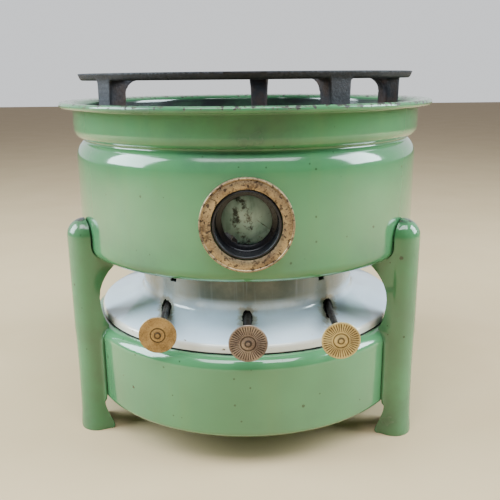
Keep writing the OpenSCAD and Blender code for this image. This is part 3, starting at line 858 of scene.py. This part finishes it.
SPINDLE_HOLE_R, VENT_TURN = 3.4, 39.5
holes = [
    on_front(rod(SPINDLE_HOLE_R, 40, plate_r - 1), spindle_at[side].x, spindle_at[side].z) for side in SIDES
]
vents = [
    facing(cutter_box((DOME_R - 5, -3, crown_z - 5), (DOME_R + 7, 3, crown_z)), turn)
    for turn in (-VENT_TURN, VENT_TURN)
]
filler_room = rod(FILLER_HOLE_R + 0.7, plate_z, plate_z + 44, filler.x, filler.y)
cut(plate, *holes, *vents, filler_room)
rounded(plate, 0.3)
print("burner plate:", len(plate.data.polygons), "faces")

# %% [markdown]
# ## The mantle
# The green drum that carries the pot rest and keeps the wind off. From below: a rounded bottom
# edge, a belly, a shoulder, a narrow neck, a collar with a soft lower corner, and a lip that flares
# out into a rim rolled over a wire. A rolled rim is made here as the outline curling round on
# itself, as the sheet does. What is outside on the curl is the wall's inner side, so the skin's
# faces look into the drum, and the sheet's thickness goes in front of them.

# %% Mantle
BELLY_R, COLLAR_R, BEAD_R, LINER_R = 129.4, 130.4, 2.1, 101
NECK_ROUND, SHOULDER_ROUND, COLLAR_ROUND, MANTLE_EDGE, LIP_TURN = 1.9, 15, 7.5, 9, 4
collar_z = rim_z - BEAD_R - 16.6
neck = (125.2, collar_z - 8.4)
shoulder = (BELLY_R - SHOULDER_ROUND, neck[1] - 12.95)
mantle_outline = [(LINER_R - 2.5, mantle_z)]
mantle_outline += arc((BELLY_R - MANTLE_EDGE, mantle_z + MANTLE_EDGE), MANTLE_EDGE, -90, 0, 10)
mantle_outline += line((BELLY_R, mantle_z + MANTLE_EDGE), (BELLY_R, shoulder[1]), 15)[:-1]
mantle_outline += arc(shoulder, SHOULDER_ROUND, 0, 50, 10)
mantle_outline += arc(neck, NECK_ROUND, 230, 104, 8)
mantle_outline += arc((COLLAR_R - COLLAR_ROUND, collar_z), COLLAR_ROUND, -76, 0, 8)
mantle_outline += arc((COLLAR_R + LIP_TURN, rim_z - BEAD_R - LIP_TURN + 0.4), LIP_TURN, 180, 100, 6)
mantle_outline += arc((rim_r - BEAD_R, rim_z - BEAD_R), BEAD_R - SHEET, 90, -150, 12)
mantle = piece("mantle", spun(mantle_outline, 256), "mantle_shell", mantle_green)
thicken(mantle, SHEET, 1)
WINDOW_HOLE_R = 21.8
cut(mantle, on_front(rod(WINDOW_HOLE_R, 90, 150), 0, window_z))
rounded(mantle, 0.3)
print("mantle:", len(mantle.data.polygons), "faces")


# %% [markdown]
# ## The legs
# Each leg is a channel pressed from sheet: a half-round back, two side walls, and a top closed like
# a thimble. Along the tank its edges turn out into narrow flanges that are welded to the drum.
# Above the tank the walls sweep inwards round the burner plate and end in a shelf that carries the
# mantle. It is made as a loft: a flat grid whose rows are the levels and whose columns are the
# points of the cross-section, each moved to its own place. The mantle's own shape is then cut away
# from the top.

# %% Leg levels
# Height, reach of the wall's edge from the drum's axis, how far the flange turns out, radius of the
# back. Where the last two are left out there is no flange, and the back has its usual radius.
LEG_LEVELS = [
    (0, 124.6, 0.9, 13.0), (0.8, 123.6, 0.9, 13.2), (2.2, 122.9, 0.8, 13.2), (5, 123.4, 0.5, 13.1),
    (9, 124.8, 0.2, 12.8), (14, 126.5, 0.0, 12.4), (19, 128.0, 0.0, 12.3), (22.5, 128.7, 0.3, 12.2),
    (25.5, 128.1, 1.6, 12.2), (29, 127.7, 2.5, 12.1), (50, 127.7, 2.6, 12.0), (68, 127.7, 2.6, 12.1),
    (73, 127.5, 2.5, 12.2), (76.5, 126.4, 2.0, 12.3), (79.5, 124.3, 1.2, 12.4), (82, 121.6, 0.3, 12.5),
    (84, 121.4), (88, 123.6), (94, 125.3), (100, 126.3), (106, 126.7), (112, 125.9), (117, 124.0),
    (121, 121.8), (125, 118.8), (128, 115.8), (130.5, 112.6), (132.5, 109.6), (134.4, 108.6),
    (143, 108.6),
]
LEG_CIRCLE, LEG_R, LEG_SHEET, LEG_TOP = 131.2, 12.5, 1.1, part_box("leg_rear")[1].z / MM


def leg_section(reach, flange, back):
    """Half of a cross-section, as (distance from the drum's axis, distance from the leg's middle)."""
    start, bend, end = (LEG_CIRCLE, back), (reach + 0.4, back), (reach, back + flange)
    if flange == 0:
        bend = ((reach + LEG_CIRCLE) / 2, back)
    wall = []
    for i in range(10, 0, -1):
        t = i / 10
        weights = ((1 - t) ** 2, 2 * t * (1 - t), t * t)
        wall.append([sum(w * p[k] for w, p in zip(weights, (start, bend, end))) for k in (0, 1)])
    return wall + arc((LEG_CIRCLE, 0), back, 90, 0, 10)


def leg_skin():
    levels = [(*level, 0.0, LEG_R)[:4] for level in LEG_LEVELS]
    for i in range(0, 9):
        angle = math.radians(90 * i / 9)
        levels.append((LEG_TOP - LEG_R * (1 - math.sin(angle)), 108.6, 0.0, LEG_R * math.cos(angle)))
    levels.append((LEG_TOP, 108.6, 0.0, 0.02))
    rows = []
    for height, reach, flange, back in levels:
        half = leg_section(reach, flange, back)
        rows.append([(a, b, height) for a, b in half + [(a, -b) for a, b in reversed(half[:-1])]])
    bm = bmesh.new()
    across, up = len(rows[0]) - 1, len(rows) - 1
    bmesh.ops.create_grid(bm, x_segments=across, y_segments=up, size=1)
    for vert in bm.verts:
        column, row = round((vert.co.x + 1) / 2 * across), round((vert.co.y + 1) / 2 * up)
        vert.co = Vector(rows[row][column]) * MM
    tidy(bm)
    return bm


def mantle_room():
    """The space that the mantle fills, a little larger all round, as a solid to cut with."""
    gap = 1.4
    edge = MANTLE_EDGE + gap
    outline = [(0.0, mantle_z), (BELLY_R - MANTLE_EDGE, mantle_z)]
    outline += arc((BELLY_R - MANTLE_EDGE, mantle_z + edge), edge, -90, 0, 12)[1:]
    outline += [(BELLY_R + gap, 180), (0.0, 180)]
    return spun(outline, 256)


for name, turn in (("left", -63.4), ("right", 56.6), ("rear", 176.6)):
    leg = piece("leg_" + name + "_pressing", facing(leg_skin(), turn), "leg_" + name, leg_green)
    thicken(leg, LEG_SHEET)
    cut(leg, mantle_room(), folds=True)
    for vert in leg.data.vertices:
        vert.co.z = max(vert.co.z, 0.0)
    rounded(leg, 0.35, 3, 40)
print("legs:", len(leg.data.polygons), "faces each")

# %% [markdown]
# ## The sight glass
# A brass bezel is pressed over a short black tube that runs back towards the flames. Inside the
# tube a thin ring holds a disc of mica. The bezel's face is slightly crowned, with a fine raised
# edge; its skirt is trimmed to the drum's curve.

# %% Bezel, tube, retainer and mica
BEZEL_R, BEZEL_SHEET, BEZEL_FACE = 29.5, 0.8, BELLY_R + 3
bezel_crown = [(22.3, -2.6), (22, -1.6), (22.2, -0.7), (23.2, -0.25), (25, 0.1), (27, 0), (28, -0.35)]
bezel_outline = [(radius, BEZEL_FACE + ahead) for radius, ahead in bezel_crown]
bezel_outline += arc((BEZEL_R - 0.75, BEZEL_FACE - 0.5), 0.75, 120, 0, 6)
bezel_outline += [(BEZEL_R, BEZEL_FACE - 2), (BEZEL_R, BEZEL_FACE - 4)]
bm = on_front(spun(bezel_outline, 160), 0, window_z)
for vert in bm.verts:
    if vert.co.y > -(BEZEL_FACE - 3.5) * MM:
        vert.co.y = -math.sqrt((BELLY_R * MM) ** 2 - vert.co.x**2)
bezel = piece("bezel", bm, "window_bezel", bezel_brass)
thicken(bezel, BEZEL_SHEET)
rounded(bezel, 0.12, 2, 40)

TUBE_R, TUBE_WALL, PANE_VIEW = 21.6, 1.0, 16
pane_reach = -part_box("mica_pane")[1].y / MM
tube_front = BEZEL_FACE - 1
tube_outline = [(TUBE_R, LINER_R - 3.5), (TUBE_R, tube_front - 1.2)]
tube_outline += arc((TUBE_R - 0.9, tube_front - 0.9), 0.9, 0, 170, 8)
tube_outline += [(TUBE_R - TUBE_WALL - 0.9, tube_front - 2), (TUBE_R - TUBE_WALL - 0.7, pane_reach + 4)]
tube_outline += arc((TUBE_R - 3.2, pane_reach + 4), 1.5, 0, -80, 6)
tube_outline += [(PANE_VIEW + 0.3, pane_reach + 2.3)]
tube_outline += [(PANE_VIEW, pane_reach + 1.9), (PANE_VIEW, pane_reach + 0.5)]
tube = piece("window_tube_turned", on_front(spun(tube_outline, 128), 0, window_z), "window_tube", black_steel)
thicken(tube, 0.5)
refined("retainer_ring", "mica_retainer", black_steel, 0.2)
print("bezel and tube:", len(bezel.data.polygons) + len(tube.data.polygons), "faces")

# %% Mica pane with a broken edge
PANE_R, PANE_T = 20.3, 0.4
random.seed(7)
bm = bmesh.new()
bmesh.ops.create_circle(bm, cap_ends=True, segments=120, radius=PANE_R * MM)
for vert in bm.verts:
    across, up = vert.co.x, vert.co.y
    turn = math.degrees(math.atan2(up, across))
    if -150 < turn < -112:
        bite = (15.2 - 1.6 * math.sin(math.radians((turn + 150) * 180 / 38)) + random.uniform(-0.5, 0.5)) * MM
        vert.co = vert.co.normalized() * bite
    elif -100 < turn < -84:
        vert.co = vert.co.normalized() * (15.3 + random.uniform(-0.3, 0.4)) * MM
extruded(bm, (0, 0, PANE_T * MM))
bmesh.ops.translate(bm, vec=(0, 0, pane_reach * MM), verts=bm.verts)
bmesh.ops.recalc_face_normals(bm, faces=bm.faces)
pane = piece("mica_disc", on_front(bm, 0, window_z), "mica_pane", mica_mat)
print("mica:", len(pane.data.vertices), "points")

# %% [markdown]
# ## Knobs and spindles
# The knobs are thin discs stamped in brass, riveted on the spindles' ends. The stamping is real
# relief: a ring of short radial grooves round a small boss. A disc is spun with many fine steps and
# its front points are then pushed in by a formula of radius and angle. The left one is nearly
# plain, with two shallow rings struck off-centre.


# %% Knobs
RAYS = 40


def on_spindle(bm, side):
    return on_front(bm, spindle_at[side].x, spindle_at[side].z)


def sunburst(angle, share):
    """Depth of the grooves at a share of the radius, in mm."""
    if not 0.42 < share < 0.95:
        return 0.0
    fade = min((share - 0.42) / 0.06, (0.95 - share) / 0.05, 1.0)
    return 0.34 * fade * max(0.0, math.cos(angle * RAYS)) ** 2


def stamped_disc(reach, radius, thickness, relief):
    """A disc whose face is at reach. relief gives the depth of the stamping at (x, y) in mm."""
    half = thickness / 2
    outline = [(0.0, 0.0), (radius - half, 0.0)] + arc((radius - half, half), half, -90, 90, 6)
    outline += line((radius - half, thickness), (0.0, thickness), 34)
    bm = spun(outline, 8 * RAYS)
    for vert in bm.verts:
        if vert.co.z > (thickness - 0.05) * MM:
            vert.co.z -= relief(vert.co.x / MM, vert.co.y / MM) * MM
    bmesh.ops.translate(bm, vec=(0, 0, (reach - thickness) * MM), verts=bm.verts)
    return bm


def ring(x, y, radius, width, depth):
    """A groove of round section, struck about the disc's centre."""
    off = (math.hypot(x, y) - radius) / width
    return depth * math.exp(-off * off)


def burst_relief(x, y):
    share = math.hypot(x, y) / KNOB_R
    rings = ring(x, y, 0.37 * KNOB_R, 0.35, 0.25) + ring(x, y, 0.2 * KNOB_R, 0.5, -0.2)
    return rings + sunburst(math.atan2(y, x), share)


def plain_relief(x, y):
    outer = ring(x - 0.5, y - 0.3, 0.40 * KNOB_R, 0.45, 0.2)
    return outer + ring(x + 0.3, y + 0.2, 0.22 * KNOB_R, 0.4, -0.22)


def knob_brass(side, light, dark, grime, grooves):
    """Brass with dirt left in the stamped grooves, found from radius and angle like the relief."""
    made, g, shader = material("knob_brass_" + side)
    where, x, y, z = g.place()
    across = g.minus(x, spindle_at[side].x * MM)
    up = g.minus(z, spindle_at[side].z * MM)
    radius = g.sum("DIVIDE", g.from_axis(across, up), KNOB_R * MM)
    struck = g.off(radius, 0.38)
    head = g.off(radius, 0.15)
    dirt = g.most(g.between(struck, 0.02, 0.05, 0.8, 0.0), g.between(head, 0.02, 0.07, 0.9, 0.0))
    if grooves:
        ray = g.sum("COSINE", g.times(g.sum("ARCTAN2", up, across), RAYS))
        band = g.times(g.between(radius, 0.44, 0.5), g.between(radius, 0.86, 0.94, 1.0, 0.0))
        dirt = g.most(dirt, g.times(g.times(g.between(ray, -0.1, 0.7), band), 0.9))
    add_worn_metal(g, shader, where, light, dark, (0.34, 0.55), 420, 0.24, grime, dirt)
    settings(shader, Metallic=0.75)
    return made


KNOB_R = (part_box("knob_left")[1].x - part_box("knob_left")[0].x) / 2 / MM
KNOB_T = 1.2
knob_plain = knob_brass("left", rgb(180, 150, 104), rgb(132, 104, 66), rgb(62, 46, 30), False)
knob_brown = knob_brass("centre", rgb(164, 146, 132), rgb(110, 92, 84), rgb(42, 31, 25), True)
knob_yellow = knob_brass("right", rgb(218, 196, 140), rgb(166, 140, 94), rgb(66, 46, 27), True)
knob_looks = {
    "left": (plain_relief, knob_plain),
    "centre": (burst_relief, knob_brown),
    "right": (burst_relief, knob_yellow),
}
for side, (relief, finish) in knob_looks.items():
    reach = -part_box("knob_" + side)[0].y / MM
    disc = on_spindle(stamped_disc(reach, KNOB_R, KNOB_T, relief), side)
    knob = piece("knob_disc_" + side, disc, "knob_" + side, finish)
print("knob:", round(KNOB_R, 1), "mm radius,", len(knob.data.polygons), "faces")

# %% Spindles
SPINDLE_R, SPINDLE_BACK = 2.3, -22
collar = [(SPINDLE_R, -4), (2.9, -3.2), (3.1, -2.6), (3.1, -0.5), (2.8, 0)]
collar += [(1.6, 0), (1.6, KNOB_T), (2.1, KNOB_T)]
for side in SIDES:
    reach = -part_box("knob_" + side)[0].y / MM - KNOB_T
    outline = [(0.0, SPINDLE_BACK), (1.9, SPINDLE_BACK), (SPINDLE_R, SPINDLE_BACK + 0.5), (SPINDLE_R, 70)]
    outline += [(r, reach + ahead) for r, ahead in collar]
    outline += arc((1.3, reach + KNOB_T), 0.8, 0, 90, 4)
    outline += [(0.5, reach + KNOB_T + 0.75), (0.0, reach + KNOB_T + 0.5)]
    bm = on_spindle(spun(outline, 48), side)
    for face in bm.faces:
        face.material_index = int(face.calc_center_median().y < -(reach + KNOB_T / 2) * MM)
    rod_made = piece("spindle_rod_" + side, bm, "spindle_" + side, spindle_steel)
    rod_made.data.materials.append(knob_looks[side][1])
print("spindles:", len(SIDES))

# %% [markdown]
# ## The pot rest
# One iron casting: a ring, five feet with an arch on their inner side, five arms and a hub. Castings
# have soft inner corners and a sandy skin. The plain shapes are laid over each other, and a voxel
# remesh melts them into one body with one surface; a few smoothing passes then round what the sand
# would have rounded.

# %% Pot rest
REST_FEET = (-48.5, 28.4, 100, 173.5, 248.5)
RING_T, RING_DRAFT, RING_W, HUB, ARM_W, VOXEL = 4.8, 2, 13, (28, 38), 9, 1.15
FOOT_W, FOOT_LOW_W, FOOT_D, ARCH = 17, 13.4, 12, 10


def closed_spin(outline, steps=160):
    return spun(outline + outline[:1], steps)


def casting():
    low = rest_top - RING_T
    inner, outer = rest_r - RING_W, rest_r - RING_DRAFT
    bm = closed_spin([(inner, low), (outer, low), (rest_r, rest_top), (inner, rest_top)])
    others = [closed_spin([(HUB[0], low), (HUB[1], low), (HUB[1], rest_top), (HUB[0], rest_top)], 96)]
    arch_end = outer - FOOT_D - ARCH
    foot_outline = [(outer, rest_top - 0.1), (outer, rest_z), (outer - FOOT_D, rest_z)]
    foot_outline += arc((arch_end, low - ARCH), ARCH, 0, 90, 6) + [(arch_end, rest_top - 0.1)]
    for turn in REST_FEET:
        foot = bmesh.new()
        base = [foot.verts.new((r * MM, -0.5 * MM, z * MM)) for r, z in foot_outline]
        foot.faces.new(base)
        extruded(foot, (0, MM, 0))
        for vert in foot.verts:
            share = (vert.co.z / MM - rest_z) / (rest_top - rest_z)
            vert.co.y *= FOOT_LOW_W + (FOOT_W - FOOT_LOW_W) * share
        block(foot, (33, -ARM_W / 2, low), (inner + 1, ARM_W / 2, rest_top))
        tidy(foot)
        others.append(facing(foot, turn))
    for other in others:
        mesh = bpy.data.meshes.new("part")
        other.to_mesh(mesh)
        other.free()
        bm.from_mesh(mesh)
        bpy.data.meshes.remove(mesh)
    return bm


rest = piece("pot_rest_casting", casting(), "pot_rest", iron)
melt = rest.modifiers.new("one body", "REMESH")
melt.mode = "VOXEL"
melt.voxel_size = VOXEL * MM
melt.use_smooth_shade = True
soften = rest.modifiers.new("sand-soft edges", "SMOOTH")
soften.factor = 0.5
soften.iterations = 2
bake_modifiers(rest)
print("pot rest:", len(rest.data.polygons), "faces")

# %% [markdown]
# ## Inside the stove
# Looking down past the pot rest one sees the chimney, the perforated plate, the three flame caps
# and the wicks in their tubes. These are plain pressed shapes that the frame already holds, so
# copies of them get rounded edges and their own finishes.

# %% Inner pieces
refined("chimney", "chimney_liner", sooty_steel)
refined("ledge", "ledge_ring", sooty_steel)
refined("draught_disc", "draught_plate", sooty_steel, 0.15)
refined("tank_lid", "tank_cover", plain_steel)
refined("paper_gasket", "plate_gasket", gasket_mat, 0.1)
refined("cap_gasket", "filler_gasket", gasket_mat, 0.1)
refined("neck", "filler_neck", plain_steel)
for side in SIDES:
    refined("cap_" + side, "flame_cap_" + side, black_steel, 0.3)
    refined("tube_" + side, "wick_tube_" + side, plain_steel, 0.15)
    refined("housing_" + side, "gear_housing_" + side, plain_steel, 0.2)
    refined("wheels_" + side, "wick_wheels_" + side, plain_steel, 0.1)
    refined("wick_strip_" + side, "wick_" + side, cotton_mat, 0.5)

# %% [markdown]
# ## The filler cap
# At the back of the plate stands the filler, closed by a brass screw cap. Fingers need a grip, so
# its skirt is knurled: once the top is shaped, the skirt's points are pulled in by turns.

# %% Filler cap
cap_low, cap_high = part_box("filler_cap")
cap_r = (cap_high.x - cap_low.x) / 2
cap_h = cap_high.z - cap_low.z
CAP_CROWN, KNURLS, KNURL_SHARE = 1.2, 36, 0.965
bm = bmesh.new()
bmesh.ops.create_circle(bm, cap_ends=True, segments=4 * KNURLS, radius=cap_r)
lid = extruded(bm, (0, 0, cap_h - CAP_CROWN * MM))[0]
for inward, up in ((0.9, 0.9), (1.0, 0.3), (4.0, 0.0), (0.4, -0.5)):
    bmesh.ops.inset_individual(bm, faces=[lid], thickness=inward * MM, depth=up * MM, use_even_offset=True)
for vert in bm.verts:
    number = round(math.atan2(vert.co.y, vert.co.x) / math.tau * 4 * KNURLS)
    if vert.co.xy.length > 0.99 * cap_r and number % 4 > 1:
        vert.co.xy *= KNURL_SHARE
cap_middle = (cap_low + cap_high) / 2
bmesh.ops.translate(bm, vec=(cap_middle.x, cap_middle.y, cap_low.z), verts=bm.verts)
bmesh.ops.recalc_face_normals(bm, faces=bm.faces)
filler_cap = piece("filler_cap_knurled", bm, "filler_cap", filler_brass)
rounded(filler_cap, 0.2, 2, 30)
print("filler cap:", len(filler_cap.data.polygons), "faces")
